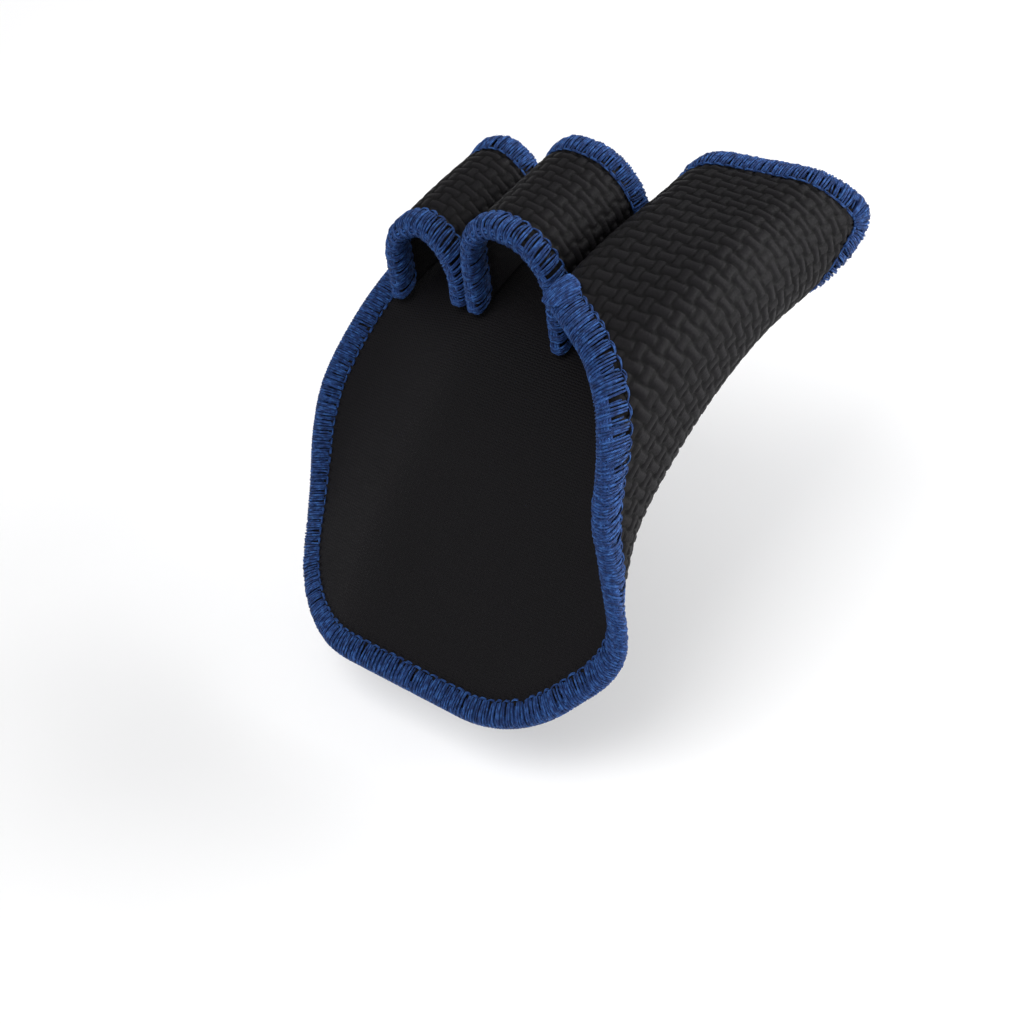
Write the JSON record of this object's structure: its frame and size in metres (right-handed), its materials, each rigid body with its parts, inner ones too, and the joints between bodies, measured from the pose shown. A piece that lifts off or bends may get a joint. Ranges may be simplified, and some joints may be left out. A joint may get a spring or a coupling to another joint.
{
  "type": "weightlifting hand grip",
  "caption": "Neoprene palm pad whose sheet wraps the index finger, with loops for the middle and ring fingers and overlocked yarn edges; left hand, held in its worn form.",
  "frame": {"origin": "middle of the hole that the middle finger goes through, where a hand carries the grip", "axes": "+X to the thumb side, +Y along the fingers to their tips, +Z to the back of the hand"},
  "size_m": [0.0918, 0.1034, 0.0768],
  "materials": {
    "neoprene": "charcoal neoprene embossed with a fine herringbone of short raised bars",
    "blue_yarn": "royal blue textured overlock yarn"
  },
  "bodies": {
    "root": {"palm_pad": "neoprene", "middle_loop": "neoprene", "ring_loop": "neoprene", "pad_binding": "blue_yarn", "middle_near_binding": "blue_yarn", "middle_far_binding": "blue_yarn", "ring_near_binding": "blue_yarn", "ring_far_binding": "blue_yarn", "junction_tack": "blue_yarn"}
  },
  "joints": []
}
